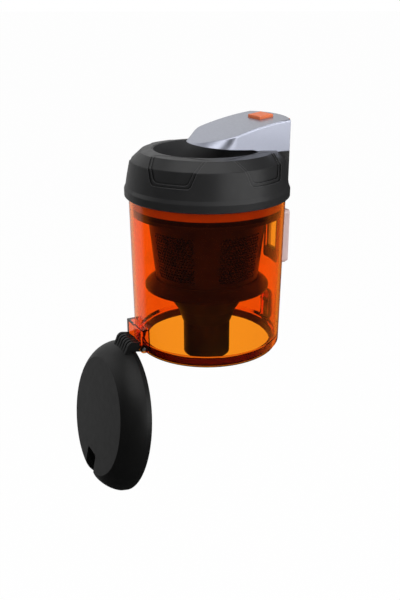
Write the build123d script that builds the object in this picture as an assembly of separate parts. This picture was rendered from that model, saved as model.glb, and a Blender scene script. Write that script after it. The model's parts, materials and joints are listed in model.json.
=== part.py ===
"""Cyclone dust container of an upright vacuum cleaner, bottom lid hanging open.

Millimetres. The bin's axis is the modelling Z axis and its bottom rim is Z = 0.
+X points to the rear, where the container docks, and the lid hinges at -X.
Every piece is exported with the origin on the inlet's docking face, below its opening.
"""
import os
from math import cos, radians, sin, sqrt

from build123d import *

# Dust bin: a clear tapered tube with a stepped bottom rim
BIN_TOP_R = 60.2
BIN_TAPER = 1.7
BIN_FOOT_R = BIN_TOP_R - BIN_TAPER
BIN_HEIGHT = 126.0
BIN_WALL = 2.4
RIM_HEIGHT = 3.0
RIM_STEP = 1.9
RIM_WALL = 2.6
BAND_HEIGHT = 7.5
BOTTOM_SEAL_WIDTH = 2.2
BOTTOM_SEAL_HEIGHT = 6.0
BOTTOM_SEAL_RECESS = 0.2

# Clearances
SEAT_GAP = 0.05
HEAD_FIT = 0.35
LID_FIT = 0.4
PIN_FIT = 0.05
SWING_GAP = 0.4

# Dirty-air inlet in the bin's rear wall, set to one side for a tangential flow
INLET_Y = -6.75
INLET_WIDTH = 19.5
INLET_HEIGHT = 32.0
INLET_BOTTOM = 70.5
INLET_FRAME_SIDE = 3.5
INLET_FRAME_LOW = 9.5
INLET_FRAME_HIGH = 2.6
INLET_CORNER_R = 3.0
DOCK_OUT = 3.8
GASKET_THICK = 2.0
GASKET_INSET = 0.6

# Lid hinge lug on the bin
LUG_WIDTH = 27.9
LUG_WALL = 2.0
LUG_TOP = 23.7
LUG_OUT = 2.4
LUG_BOSS_R = 3.2
HINGE_OUT = 3.11
HINGE_Z = 7.6
HINGE_PIN_R = 1.5

# Bottom lid, drawn closed and then swung open
LID_OPEN = 101.0
LID_LIP = 2.7
LID_LIP_GAP = 0.8
LID_LIP_HEIGHT = 3.7
LID_DEPTH = 19.8
LID_FLAT_R = 46.8
LID_WALL = 2.2
LID_BELLY = 1.6
LID_LAND_WIDTH = 3.0
KNUCKLE_R = 2.8
KNUCKLE_FIN_COUNT = 6
KNUCKLE_FIN = 2.4
KNUCKLE_GROOVE = 3.2
FIN_ROUND_R = 4.5
ARM_BULGE = 5.0
ARM_LOW = 12.5
NOTCH_WIDTH = 17.0
NOTCH_REACH = 31.0
NOTCH_DEPTH = 11.0
NOTCH_WALL = 2.0
NOTCH_CORNER_R = 2.5
CATCH_HEIGHT = 4.8
TUBE_PAD_HEIGHT = 2.0
TUBE_SEAL_WIDTH = 5.0

# Lid latch, a rocking lever in a channel on the bin's rear wall
LATCH_WIDTH = 10.0
LATCH_PIVOT_Z = 22.0
LATCH_PIVOT_IN = 1.0
LATCH_WALL_GAP = 1.3
LATCH_TOP = 32.0
LATCH_THICK = 2.6
LATCH_HUB_R = 2.2
LATCH_PIN_R = 1.1
LATCH_STAND_OFF = 0.6
LATCH_HOOK_HEIGHT = 2.6
LATCH_HOOK_REACH = 2.5
CHANNEL_WALL = 2.0
CHANNEL_BOTTOM = 6.0
CHANNEL_TOP = 34.5
CHANNEL_OVER = 2.2
CHANNEL_SLOPE = 5.0
LEAF_THICK = 0.35
LEAF_WIDTH = 6.0
LEAF_LENGTH = 6.4

# Collar: the black head ring that closes the top of the bin
SKIRT_DROP = 5.5
SKIRT_WALL = 2.75
SKIRT_EDGE = 0.8
BULGE_HEIGHT = 6.0
LEDGE_RISE = 2.8
LEDGE_IN = 1.2
COLLAR_RISE = 29.4
COLLAR_WALL = 2.6
SHOULDER_IN = 4.4
SHOULDER_DROP = 7.4
CROWN_IN = 7.2
CROWN_WIDTH = 9.6
CROWN_FALL = 0.9
CROWN_THICK = 3.0
SEAT_THICK = 3.0
DECK_R = 43.0
PLUG_DROP = 16.7
PLUG_WALL = 2.6
BULGE_ROUND_R = 1.0
SHOULDER_ROUND_R = 1.0
CROWN_ROUND_R = 0.6
PANEL_STEP = 72.0
PANEL_DEPTH = 1.6
PANEL_LEDGE = 0.8
PANEL_BORDER = 2.2
PANEL_TOP_WIDTH = 45.0
PANEL_LOW_WIDTH = 31.0
PANEL_DROP = 18.5
PANEL_CORNER_R = 4.0
COLLAR_SEAL_DROP = 12.7
COLLAR_SEAL_HEIGHT = 6.0
COLLAR_SEAL_DEPTH = 1.4
COLLAR_SEAL_GAP = 0.3

# Clean-air outlet at the collar's rear: a tower under the handle's root with a flat docking pad
BLOCK_HEIGHT = 27.4
BLOCK_WIDTH = 30.0
DUCT_WIDTH = 23.5
DUCT_HEIGHT = 18.5
DUCT_SILL = 4.0
PLATE_LOW = 2.3
PLATE_HIGH = 7.0

# Dish under the handle
DISH_DEPTH = 22.0
DISH_WALL = 2.0
DISH_LIP = 1.2
DISH_SINK = 0.2
DISH_EDGE = 6.0
DISH_FLOOR_R = 30.0
DISH_ROUND_R = 9.0
DISH_FIT = 0.15

# Handle: a broad silver tongue that rises from the collar and reaches over the dish
HANDLE_WIDTH = 58.2
HANDLE_WALL = 2.0
HANDLE_ARC_R = 240.0
HANDLE_APEX_X = 78.3
HANDLE_APEX_RISE = 22.2
HANDLE_EDGE_R = 1.2
NOSE_X = 9.9
NOSE_LOW_LENGTH = 30.8
NOSE_HIGH_LENGTH = 7.8
NOSE_RISE = 16.6
TONGUE_TIP_RISE = 4.4
TONGUE_BEND_X = 23.0
TONGUE_BEND_RISE = 0.8
TONGUE_ROOT_X = 31.0
BASE_FIT = 0.1
BASE_THICK = 2.0

# Release lever in the handle: button at the front, hook out of the back
BUTTON_X = 46.2
BUTTON_LENGTH = 11.6
BUTTON_WIDTH = 17.4
BUTTON_PROUD = 2.2
BUTTON_EDGE_R = 0.6
BUTTON_SIDE_GAP = 0.3
BUTTON_END_GAP = 0.8
LEVER_PIVOT_BACK = 7.5
LEVER_PIVOT_RISE = 15.1
LEVER_PLATE = 2.0
LEVER_HUB_R = 2.5
LEVER_HUB_LENGTH = 19.0
LEVER_PIN_R = 1.2
LEVER_EAR = 3.0
LEVER_EAR_LENGTH = 6.0
LEVER_EAR_GAP = 0.4
HOOK_WIDTH = 16.0
HOOK_OUT = 6.0
HOOK_THICK = 3.4
HOOK_TIP = 3.2
HOOK_DROP = 1.4
HOOK_GAP = 1.3
SPRING_R = 3.2
SPRING_WIRE_R = 0.4
SPRING_TURNS = 4
SPRING_SEAT = 0.1

# Cyclone shroud and the parts below it
SHROUD_TOP_R = 46.3
SHROUD_FOOT_R = 40.2
SHROUD_LENGTH = 54.0
SHROUD_WALL = 1.4
FLANGE_THICK = 2.3
FLANGE_GAP = 0.5
NECK_HEIGHT = 7.0
NECK_WALL = 2.2
MESH_PANELS = 5
MESH_PANEL_ANGLE = 47.0
MESH_TURN = -81.4
MESH_TOP_MARGIN = 9.0
MESH_LOW_MARGIN = 7.0
MESH_HOLE_R = 3.1
MESH_PITCH = 10.4
MESH_HOLE_SIDES = 6
SKIRT_CONE_R = 49.1
SKIRT_CONE_DROP = 4.8
SKIRT_CONE_LAP = 3.2
SKIRT_CONE_WALL = 1.6
BAFFLE_LENGTH = 27.0
BAFFLE_THICK = 2.0
BAFFLE_GAP = 3.2
BAFFLE_ROUND_R = 3.0
FUNNEL_TOP_R = 38.4
FUNNEL_WAIST_R = 23.3
FUNNEL_WAIST_Z = 28.0
FUNNEL_LOW_Z = 18.0
FUNNEL_WALL = 1.8
TUBE_R = 18.75
TUBE_WALL = 1.8
TUBE_DROP = 11.0
TUBE_EDGE_R = 0.8

# Filter cartridge inside the shroud
FILTER_CAP_R = 36.0
FILTER_RING_R = 47.0
FILTER_RING_THICK = 3.0
FILTER_CAP_THICK = 2.0
FILTER_LENGTH = 40.0
PLEAT_OUT_R = 34.5
PLEAT_IN_R = 27.0
PLEAT_THICK = 1.0
PLEAT_COUNT = 28
FOAM_IN_R = 35.0
FOAM_WALL = 2.5


def bin_radius(z):
    """Outer radius of the bin's tapered wall at a height."""
    return BIN_FOOT_R + (BIN_TOP_R - BIN_FOOT_R) * z / BIN_HEIGHT


# Places that several pieces share
RIM_R = BIN_FOOT_R - RIM_STEP
RIM_INNER_R = RIM_R - RIM_WALL
DOCK_X = max(BIN_TOP_R, BIN_FOOT_R) + DOCK_OUT
BLOCK_X = DOCK_X - GASKET_THICK
DOCK_Z = INLET_BOTTOM - INLET_FRAME_LOW / 2
HINGE_X = -(bin_radius(HINGE_Z + KNUCKLE_R) + HINGE_OUT)
LUG_X = HINGE_X - LUG_OUT
LUG_INSIDE = LUG_WIDTH - 2 * LUG_WALL
LID_LIP_TOP = RIM_HEIGHT - LID_LIP_GAP
LID_R = RIM_R + LID_FIT + LID_LIP
LID_FLAT_Z = LID_LIP_TOP - LID_DEPTH
LID_FLOOR_Z = LID_FLAT_Z + LID_WALL
CATCH_Z = LID_LIP_TOP - CATCH_HEIGHT
LATCH_INNER_X = max(LID_R + LATCH_STAND_OFF, bin_radius(LATCH_TOP) + LATCH_WALL_GAP)
LATCH_X = LATCH_INNER_X + LATCH_PIVOT_IN
SEAT_Z = BIN_HEIGHT
SKIRT_Z = SEAT_Z - SKIRT_DROP
SKIRT_IN_R = max(BIN_TOP_R, bin_radius(SKIRT_Z)) + HEAD_FIT
BULGE_R = SKIRT_IN_R + SKIRT_WALL
SHOULDER_R = BULGE_R - SHOULDER_IN
CROWN_R = SHOULDER_R - CROWN_IN
DISH_R = CROWN_R - CROWN_WIDTH
CROWN_Z = SEAT_Z + COLLAR_RISE
SHOULDER_Z = CROWN_Z - SHOULDER_DROP
BLOCK_TOP = SEAT_Z + BLOCK_HEIGHT
DUCT_Z = SEAT_Z + DUCT_SILL
PLUG_Z = SEAT_Z - PLUG_DROP
NOSE_TIP_X = NOSE_X - NOSE_LOW_LENGTH
HANDLE_BACK_R = BLOCK_X - BASE_FIT
BASE_FLOOR = BLOCK_TOP + BASE_THICK
LEVER_X = BLOCK_X - LEVER_PIVOT_BACK
LEVER_Z = CROWN_Z + LEVER_PIVOT_RISE
COLLAR_SEAL_Z = SEAT_Z - COLLAR_SEAL_DROP
FLANGE_Z = PLUG_Z - FLANGE_THICK
SHROUD_FOOT_Z = FLANGE_Z - SHROUD_LENGTH
PLUG_R = bin_radius(FLANGE_Z) - BIN_WALL - HEAD_FIT
FLANGE_R = PLUG_R - (FLANGE_GAP - HEAD_FIT)
NECK_R = PLUG_R - PLUG_WALL - SEAT_GAP


def block(x, y, z):
    """A box given by its low and high limit along each axis."""
    box = Box(x[1] - x[0], y[1] - y[0], z[1] - z[0])
    return Pos((x[0] + x[1]) / 2, (y[0] + y[1]) / 2, (z[0] + z[1]) / 2) * box


def turned(*points):
    """A solid of revolution from a closed (radius, height) outline."""
    return revolve(Plane.XZ * make_face(Polyline(*points, close=True)), Axis.Z)


def ring(outer_r, inner_r, low, high):
    """A plain ring about the bin's axis."""
    return turned((inner_r, low), (outer_r, low), (outer_r, high), (inner_r, high))


def side_plate(face, width):
    """A face drawn in X and Z, thickened evenly about the plane Y = 0."""
    return extrude(Plane.XZ * face, amount=width / 2, both=True)


def cross_pin(x, z, radius, length):
    """A round bar along Y."""
    return Pos(x, 0, z) * Rot(90, 0, 0) * Cylinder(radius, length)


def round_corner(face, radius, height, amount):
    """Round the corner of a (radius, height) outline that lies nearest to a place."""
    near = face.vertices().sort_by_distance((radius, height))[0]
    return fillet(near, amount)


def bin_cavity():
    """The tapered space inside the bin's wall."""
    low_r = bin_radius(0) - BIN_WALL
    return turned((0, 0), (low_r, 0), (BIN_TOP_R - BIN_WALL, BIN_HEIGHT), (0, BIN_HEIGHT))


def hinge_lug():
    """Box lug with an open bottom: top, outer face and two cheeks that carry the pin."""
    root = -(BIN_FOOT_R - BIN_WALL - RIM_STEP)
    half = LUG_WIDTH / 2
    face_low = HINGE_Z + KNUCKLE_R + SWING_GAP
    top = block((LUG_X, root), (-half, half), (LUG_TOP - LUG_WALL, LUG_TOP))
    face = block((LUG_X, LUG_X + LUG_WALL), (-half, half), (face_low, LUG_TOP))
    boss_low = HINGE_Z - LUG_BOSS_R
    outline = Polyline((root, boss_low), (HINGE_X, boss_low), (LUG_X, HINGE_Z), (LUG_X, LUG_TOP), (root, LUG_TOP),
                       close=True)
    cheek = side_plate(make_face(outline), LUG_WIDTH) + cross_pin(HINGE_X, HINGE_Z, LUG_BOSS_R, LUG_WIDTH)
    cheek -= block((LUG_X - LUG_OUT, root), (-LUG_INSIDE / 2, LUG_INSIDE / 2), (0, LUG_TOP))
    lug = top + face + cheek
    lug -= cross_pin(HINGE_X, HINGE_Z, HINGE_PIN_R + SEAT_GAP, 2 * LUG_WIDTH)
    return lug


def latch_channel():
    """Two cheeks on the bin's rear wall that hold the latch pin."""
    root = BIN_FOOT_R - BIN_WALL
    inside = LATCH_WIDTH + 2 * SWING_GAP
    outside = inside + 2 * CHANNEL_WALL
    out_x = LATCH_X + CHANNEL_OVER
    slope = CHANNEL_SLOPE
    outline = Polyline((root, CHANNEL_BOTTOM), (BIN_FOOT_R, CHANNEL_BOTTOM), (out_x, CHANNEL_BOTTOM + slope),
                       (out_x, CHANNEL_TOP - slope), (BIN_FOOT_R, CHANNEL_TOP), (root, CHANNEL_TOP), close=True)
    cheeks = side_plate(make_face(outline), outside)
    cheeks -= block((root, out_x + slope), (-inside / 2, inside / 2), (0, CHANNEL_TOP + slope))
    return cheeks - cross_pin(LATCH_X, LATCH_PIVOT_Z, LATCH_PIN_R + SEAT_GAP, 2 * outside)


def inlet_frame():
    """Raised frame round the inlet, out to the docking gasket."""
    low_y = INLET_Y - INLET_WIDTH / 2 - INLET_FRAME_SIDE
    high_y = INLET_Y + INLET_WIDTH / 2 + INLET_FRAME_SIDE
    low_z = INLET_BOTTOM - INLET_FRAME_LOW
    high_z = INLET_BOTTOM + INLET_HEIGHT + INLET_FRAME_HIGH
    frame = block((BIN_FOOT_R - BIN_WALL - INLET_FRAME_LOW, BLOCK_X), (low_y, high_y), (low_z, high_z))
    return fillet(frame.edges().filter_by(Axis.X), INLET_CORNER_R)


def inlet_passage(grow):
    """The inlet's rectangular passage, grown by a margin, through the rear wall."""
    y = (INLET_Y - INLET_WIDTH / 2 - grow, INLET_Y + INLET_WIDTH / 2 + grow)
    z = (INLET_BOTTOM - grow, INLET_BOTTOM + INLET_HEIGHT + grow)
    return block((BIN_FOOT_R / 2, DOCK_X + DOCK_OUT), y, z)


def make_dust_bin():
    shell = turned((RIM_INNER_R, 0), (RIM_R, 0), (RIM_R, RIM_HEIGHT), (bin_radius(RIM_HEIGHT), RIM_HEIGHT),
                   (BIN_TOP_R, BIN_HEIGHT), (BIN_TOP_R - BIN_WALL, BIN_HEIGHT),
                   (bin_radius(BAND_HEIGHT) - BIN_WALL, BAND_HEIGHT + RIM_STEP), (RIM_INNER_R, BAND_HEIGHT))
    outside = hinge_lug() + latch_channel() + inlet_frame()
    return shell + (outside - bin_cavity()) - inlet_passage(0)


def make_bin_bottom_seal():
    outer = RIM_INNER_R - SEAT_GAP
    top = BOTTOM_SEAL_RECESS + BOTTOM_SEAL_HEIGHT
    return ring(outer, outer - BOTTOM_SEAL_WIDTH, BOTTOM_SEAL_RECESS, top)


def make_inlet_gasket():
    frame = inlet_frame()
    box = frame.bounding_box()
    y = (box.min.Y + GASKET_INSET, box.max.Y - GASKET_INSET)
    z = (box.min.Z + GASKET_INSET, box.max.Z - GASKET_INSET)
    gasket = block((BLOCK_X, DOCK_X), y, z)
    gasket = fillet(gasket.edges().filter_by(Axis.X), INLET_CORNER_R - GASKET_INSET)
    return gasket - inlet_passage(GASKET_INSET)


def make_hinge_pin():
    return cross_pin(HINGE_X, HINGE_Z, HINGE_PIN_R, LUG_WIDTH - GASKET_INSET)


def lid_body():
    """The lid's turned cup: lip, bellied side, flat outer face and a land for the bin's seal."""
    side_z = LID_LIP_TOP - LID_LIP_HEIGHT
    belly_r = (LID_R + LID_FLAT_R) / 2 + LID_BELLY
    belly_z = (side_z + LID_FLAT_Z) / 2 - LID_BELLY
    inner_r = LID_FLAT_R - LID_WALL / 2
    lip_r = RIM_R + LID_FIT
    land_r = RIM_INNER_R - LID_FIT
    land_in = land_r - LID_LAND_WIDTH
    outer = [Line((0, LID_FLAT_Z), (LID_FLAT_R, LID_FLAT_Z)),
             ThreePointArc((LID_FLAT_R, LID_FLAT_Z), (belly_r, belly_z), (LID_R, side_z)),
             Polyline((LID_R, side_z), (LID_R, LID_LIP_TOP), (lip_r, LID_LIP_TOP), (lip_r, -LID_FIT),
                      (land_in, -LID_FIT)),
             ThreePointArc((land_in, -LID_FIT), (belly_r - 2 * LID_WALL, belly_z + LID_WALL),
                           (inner_r - LID_WALL, LID_FLOOR_Z)),
             Polyline((inner_r - LID_WALL, LID_FLOOR_Z), (0, LID_FLOOR_Z), (0, LID_FLAT_Z))]
    return revolve(Plane.XZ * make_face(outer), Axis.Z)


def knuckle_outline(bulge):
    """Side outline of the hinge arm, from the pin to the lid's side, as far out as the bulge."""
    near_x = HINGE_X + KNUCKLE_R - SEAT_GAP
    far_x = HINGE_X - KNUCKLE_R + SWING_GAP
    step_z = HINGE_Z - KNUCKLE_R - SWING_GAP
    root_x = -(LID_FLAT_R + LID_R) / 2
    low_z = HINGE_Z - ARM_LOW
    side_z = LID_LIP_TOP - LID_LIP_HEIGHT
    return Polyline((near_x, HINGE_Z), (far_x, HINGE_Z), (far_x, step_z), (HINGE_X - bulge, step_z - SWING_GAP),
                    (HINGE_X - bulge, low_z), (root_x, low_z - KNUCKLE_R), (root_x, side_z), (near_x, side_z),
                    close=True)


def hinge_arm():
    """Ribbed arm from the lid's side up to the pin, a row of fins on a slimmer core."""
    length = LUG_INSIDE - 2 * LID_FIT
    barrel = cross_pin(HINGE_X, HINGE_Z, KNUCKLE_R, length)
    core = side_plate(make_face(knuckle_outline(ARM_BULGE - KNUCKLE_GROOVE)), length)
    fin_face = round_corner(make_face(knuckle_outline(ARM_BULGE)), HINGE_X - ARM_BULGE, HINGE_Z - ARM_LOW, FIN_ROUND_R)
    fin = side_plate(fin_face, KNUCKLE_FIN)
    step = (length - KNUCKLE_FIN) / (KNUCKLE_FIN_COUNT - 1)
    arm = barrel + core
    for index in range(KNUCKLE_FIN_COUNT):
        arm += Pos(0, (KNUCKLE_FIN - length) / 2 + index * step, 0) * fin
    return arm


def lid_notch(wall):
    """Finger notch at the lid's free edge, grown by a wall for the pocket around it."""
    half = NOTCH_WIDTH / 2 + wall
    x = (NOTCH_REACH - wall, LID_R + LID_LIP)
    pocket = block(x, (-half, half), (LID_FLAT_Z - wall, LID_FLAT_Z + NOTCH_DEPTH + wall))
    inner = pocket.edges().filter_by(Axis.Z).sort_by(Axis.X)[:2]
    return fillet(inner, NOTCH_CORNER_R + wall)


def lid_closed():
    body = lid_body()
    inside = turned((0, LID_FLAT_Z), (LID_FLAT_R, LID_FLAT_Z), (LID_R - LID_LIP, CATCH_Z), (0, CATCH_Z))
    body += hinge_arm()
    body += lid_notch(NOTCH_WALL) & inside
    body -= lid_notch(0)
    catch_x = LID_R - LID_LIP - LATCH_HOOK_REACH
    half = NOTCH_WIDTH / 2
    body -= block((catch_x, LID_R + LID_LIP), (-half, half), (LID_FLAT_Z, CATCH_Z))
    pad_top = LID_FLOOR_Z + TUBE_PAD_HEIGHT
    body += ring(TUBE_R + TUBE_SEAL_WIDTH / 2, TUBE_R - TUBE_SEAL_WIDTH, LID_FLOOR_Z, pad_top)
    return body - cross_pin(HINGE_X, HINGE_Z, HINGE_PIN_R + PIN_FIT, LUG_WIDTH)


def swung(piece):
    """A piece of the closed lid, turned about the hinge pin to the open position."""
    return Pos(HINGE_X, 0, HINGE_Z) * Rot(0, LID_OPEN, 0) * Pos(-HINGE_X, 0, -HINGE_Z) * piece


def make_lid_shell():
    return swung(lid_closed())


def make_tube_seal():
    low = LID_FLOOR_Z + TUBE_PAD_HEIGHT
    return swung(ring(TUBE_R + TUBE_SEAL_WIDTH / 4, TUBE_R - TUBE_SEAL_WIDTH, low, -TUBE_DROP - LID_FIT))


def make_lid_latch():
    outer_x = LATCH_INNER_X + LATCH_THICK
    hook_top = CATCH_Z - SWING_GAP
    hook_low = hook_top - LATCH_HOOK_HEIGHT
    tip_x = LID_R - LATCH_HOOK_REACH
    outline = Polyline((LATCH_INNER_X, LATCH_TOP), (outer_x, LATCH_TOP), (outer_x, hook_low), (LATCH_INNER_X, hook_low),
                       (tip_x, hook_top - LATCH_HOOK_HEIGHT / 2), (tip_x, hook_top), (LATCH_INNER_X, hook_top),
                       close=True)
    lever = side_plate(make_face(outline), LATCH_WIDTH)
    lever += cross_pin(LATCH_X, LATCH_PIVOT_Z, LATCH_HUB_R, LATCH_WIDTH)
    return lever - cross_pin(LATCH_X, LATCH_PIVOT_Z, LATCH_PIN_R + PIN_FIT, 2 * LATCH_WIDTH)


def make_latch_pin():
    return cross_pin(LATCH_X, LATCH_PIVOT_Z, LATCH_PIN_R, LATCH_WIDTH + 2 * (SWING_GAP + CHANNEL_WALL))


def make_latch_spring():
    """Bowed leaf between the bin's wall and the top of the latch."""
    top = LATCH_TOP - LEAF_THICK
    low = top - LEAF_LENGTH
    middle = (top + low) / 2
    wall_x = max(bin_radius(low), bin_radius(top)) + SEAT_GAP
    crest_x = LATCH_INNER_X - SEAT_GAP - LEAF_THICK
    inner = ThreePointArc((wall_x, low), (crest_x, middle), (wall_x, top))
    outer = ThreePointArc((wall_x + LEAF_THICK, top), (crest_x + LEAF_THICK, middle), (wall_x + LEAF_THICK, low))
    ends = [Line((wall_x, top), (wall_x + LEAF_THICK, top)), Line((wall_x + LEAF_THICK, low), (wall_x, low))]
    return side_plate(make_face([inner, ends[0], outer, ends[1]]), LEAF_WIDTH)


def collar_outside(inset):
    """The collar's outer form as a solid with rounded corners, drawn in by an inset."""
    bulge_r = BULGE_R - inset
    ledge_r = bulge_r - LEDGE_IN
    shoulder_r = SHOULDER_R - inset
    crown_r = CROWN_R - inset
    bulge_z = SKIRT_Z + BULGE_HEIGHT
    crown_z = CROWN_Z - CROWN_FALL
    face = make_face(Polyline((0, SKIRT_Z), (bulge_r - SKIRT_EDGE, SKIRT_Z), (bulge_r, SKIRT_Z + SKIRT_EDGE),
                              (bulge_r, bulge_z), (ledge_r, bulge_z + LEDGE_RISE), (shoulder_r, SHOULDER_Z),
                              (crown_r, crown_z), (DISH_R - inset, CROWN_Z), (0, CROWN_Z), close=True))
    face = round_corner(face, bulge_r, bulge_z, BULGE_ROUND_R)
    face = round_corner(face, shoulder_r, SHOULDER_Z, SHOULDER_ROUND_R)
    face = round_corner(face, crown_r, crown_z, CROWN_ROUND_R)
    return revolve(Plane.XZ * face, Axis.Z)


def collar_hollow():
    """The air space inside the collar, above the deck and under the crown."""
    floor = SEAT_Z + SEAT_THICK
    side_r = BULGE_R - COLLAR_WALL
    return turned((0, floor), (side_r - SKIRT_EDGE, floor), (SHOULDER_R - COLLAR_WALL, SHOULDER_Z - SKIRT_EDGE),
                  (CROWN_R - COLLAR_WALL, CROWN_Z - CROWN_THICK), (0, CROWN_Z - CROWN_THICK))


def grip_panel(border):
    """Trapezoid wedge that marks out one grip recess, facing +X, drawn in by a border."""
    high = CROWN_Z + PANEL_DEPTH
    low = CROWN_Z - PANEL_DROP + border
    top_half = PANEL_TOP_WIDTH / 2 - border
    low_half = PANEL_LOW_WIDTH / 2 - border
    outline = Polyline((-top_half, high), (top_half, high), (low_half, low), (-low_half, low), close=True)
    face = make_face(outline)
    face = fillet(face.vertices().sort_by(Axis.Y)[:2], PANEL_CORNER_R)
    return Pos(DISH_R, 0, 0) * extrude(Plane.YZ * face, amount=BULGE_R)


def handle_plan(inset, nose):
    """Top view of the handle: elliptical nose of a given length, straight sides, round back; drawn in by an inset."""
    half = HANDLE_WIDTH / 2 - inset
    back = HANDLE_BACK_R - inset
    corner = sqrt(back * back - half * half)
    outline = [EllipticalCenterArc((NOSE_X, 0), nose, half, 90, arc_size=180), Line((NOSE_X, -half), (corner, -half)),
               ThreePointArc((corner, -half), (back, 0), (corner, half)), Line((corner, half), (NOSE_X, half))]
    return make_face(outline)


def handle_column(inset, low, high):
    """The handle's plan pulled up between two heights."""
    return Pos(0, 0, low) * extrude(handle_plan(inset, NOSE_LOW_LENGTH), amount=high - low)


def outlet_tower(inset, low, high):
    """The rear of the handle's plan, carried down into the collar to hold the handle and the outlet."""
    half = HANDLE_WIDTH / 2
    return handle_column(inset, low, high) & block((NOSE_X, DOCK_X), (-half, half), (low, high))


def make_collar_ring():
    body = collar_outside(0)
    for depth, border in ((PANEL_LEDGE, 0), (PANEL_DEPTH, PANEL_BORDER)):
        skin = collar_outside(0) - collar_outside(depth)
        for turn in (-2, -1, 1, 2):
            body -= skin & (Rot(0, 0, turn * PANEL_STEP) * grip_panel(border))
    half = BLOCK_WIDTH / 2
    pad = block((DISH_R, BLOCK_X), (-half, half), (SEAT_Z, BLOCK_TOP))
    body -= collar_hollow()
    body -= block((BLOCK_X, 2 * BULGE_R), (-BULGE_R, BULGE_R), (SEAT_Z - PLATE_LOW - SWING_GAP, CROWN_Z))
    body += outlet_tower(0, SEAT_Z, BLOCK_TOP) + pad
    body -= outlet_tower(COLLAR_WALL, SEAT_Z + SEAT_THICK, BLOCK_TOP - COLLAR_WALL)
    body -= block((DISH_R, DOCK_X), (-DUCT_WIDTH / 2, DUCT_WIDTH / 2), (DUCT_Z, DUCT_Z + DUCT_HEIGHT))
    body -= turned((0, SKIRT_Z), (SKIRT_IN_R, SKIRT_Z), (SKIRT_IN_R, SEAT_Z), (0, SEAT_Z))
    body -= ring(DECK_R, 0, SEAT_Z, SEAT_Z + SEAT_THICK)
    body -= ring(DISH_R, 0, SEAT_Z + SEAT_THICK, CROWN_Z)
    body += ring(PLUG_R, PLUG_R - PLUG_WALL, PLUG_Z, SEAT_Z)
    body -= ring(PLUG_R + HEAD_FIT, PLUG_R - COLLAR_SEAL_DEPTH, COLLAR_SEAL_Z, COLLAR_SEAL_Z + COLLAR_SEAL_HEIGHT)
    return body - handle_column(-BASE_FIT, BLOCK_TOP, CROWN_Z + COLLAR_RISE)


def make_collar_dish():
    """Concave dish under the handle, set into the crown's opening."""
    top = CROWN_Z - DISH_SINK
    edge_r = DISH_R - DISH_FIT
    low = CROWN_Z - DISH_DEPTH
    face = make_face(Polyline((0, low - DISH_WALL), (DISH_FLOOR_R, low - DISH_WALL), (edge_r, top - DISH_EDGE),
                              (edge_r, top), (edge_r - DISH_LIP, top), (DISH_FLOOR_R - DISH_LIP, low), (0, low),
                              close=True))
    face = round_corner(face, DISH_FLOOR_R, low - DISH_WALL, DISH_ROUND_R)
    face = round_corner(face, DISH_FLOOR_R - DISH_LIP, low, DISH_ROUND_R)
    bowl = revolve(Plane.XZ * face, Axis.Z)
    return bowl - handle_column(-BASE_FIT, BLOCK_TOP, CROWN_Z + COLLAR_RISE)


def make_collar_seal():
    """Pale ring in a groove round the collar's plug, which shows through the bin's wall."""
    outer = PLUG_R + HEAD_FIT - COLLAR_SEAL_GAP
    inner = PLUG_R - COLLAR_SEAL_DEPTH + SEAT_GAP
    return ring(outer, inner, COLLAR_SEAL_Z, COLLAR_SEAL_Z + COLLAR_SEAL_HEIGHT)


def make_outlet_gasket():
    half = BLOCK_WIDTH / 2
    plate = block((BLOCK_X, DOCK_X), (-half, half), (SEAT_Z - PLATE_LOW, BLOCK_TOP + PLATE_HIGH))
    plate = fillet(plate.edges().filter_by(Axis.X), INLET_CORNER_R)
    grow = GASKET_INSET
    y = (-DUCT_WIDTH / 2 - grow, DUCT_WIDTH / 2 + grow)
    return plate - block((DISH_R, DOCK_X + DOCK_OUT), y, (DUCT_Z - grow, DUCT_Z + DUCT_HEIGHT + grow))


def handle_top(drop):
    """Everything under the handle's arched top face, lowered by a drop."""
    return cross_pin(HANDLE_APEX_X, handle_line(HANDLE_APEX_X) - HANDLE_ARC_R, HANDLE_ARC_R - drop, 2 * HANDLE_WIDTH)


def handle_line(x):
    """Height of the handle's arched top at a place along it."""
    from_apex = x - HANDLE_APEX_X
    return CROWN_Z + HANDLE_APEX_RISE - HANDLE_ARC_R + sqrt(HANDLE_ARC_R ** 2 - from_apex ** 2)


def under_tongue(lift):
    """The space under the tongue, as far back as its root, raised by a lift."""
    tip_x = NOSE_TIP_X - HANDLE_WALL
    outline = Polyline((tip_x, CROWN_Z + TONGUE_TIP_RISE + lift),
                       (TONGUE_BEND_X, CROWN_Z + TONGUE_BEND_RISE + lift), (TONGUE_ROOT_X, BLOCK_TOP + lift),
                       (TONGUE_ROOT_X, SEAT_Z), (tip_x, SEAT_Z), close=True)
    return side_plate(make_face(outline), 2 * HANDLE_WIDTH)


def handle_solid(inset):
    """The handle's outer form with its leaning nose, drawn in by an inset at the sides and the top."""
    lean = (NOSE_LOW_LENGTH - NOSE_HIGH_LENGTH) / NOSE_RISE
    nose_inset = inset * sqrt(1 + lean * lean)
    low = Pos(0, 0, BLOCK_TOP) * handle_plan(inset, NOSE_LOW_LENGTH - nose_inset)
    high = Pos(0, 0, BLOCK_TOP + NOSE_RISE) * handle_plan(inset, NOSE_HIGH_LENGTH - nose_inset)
    column = loft([low, high], ruled=True) + extrude(high, amount=COLLAR_RISE)
    return column & handle_top(inset)


def button_space(grow_end, grow_side):
    """The button's upright space through the handle's top."""
    x = (BUTTON_X - BUTTON_LENGTH / 2 - grow_end, BUTTON_X + BUTTON_LENGTH / 2 + grow_side)
    half = BUTTON_WIDTH / 2 + grow_side
    return block(x, (-half, half), (LEVER_Z - LEVER_PLATE, CROWN_Z + 2 * COLLAR_RISE))


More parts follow.
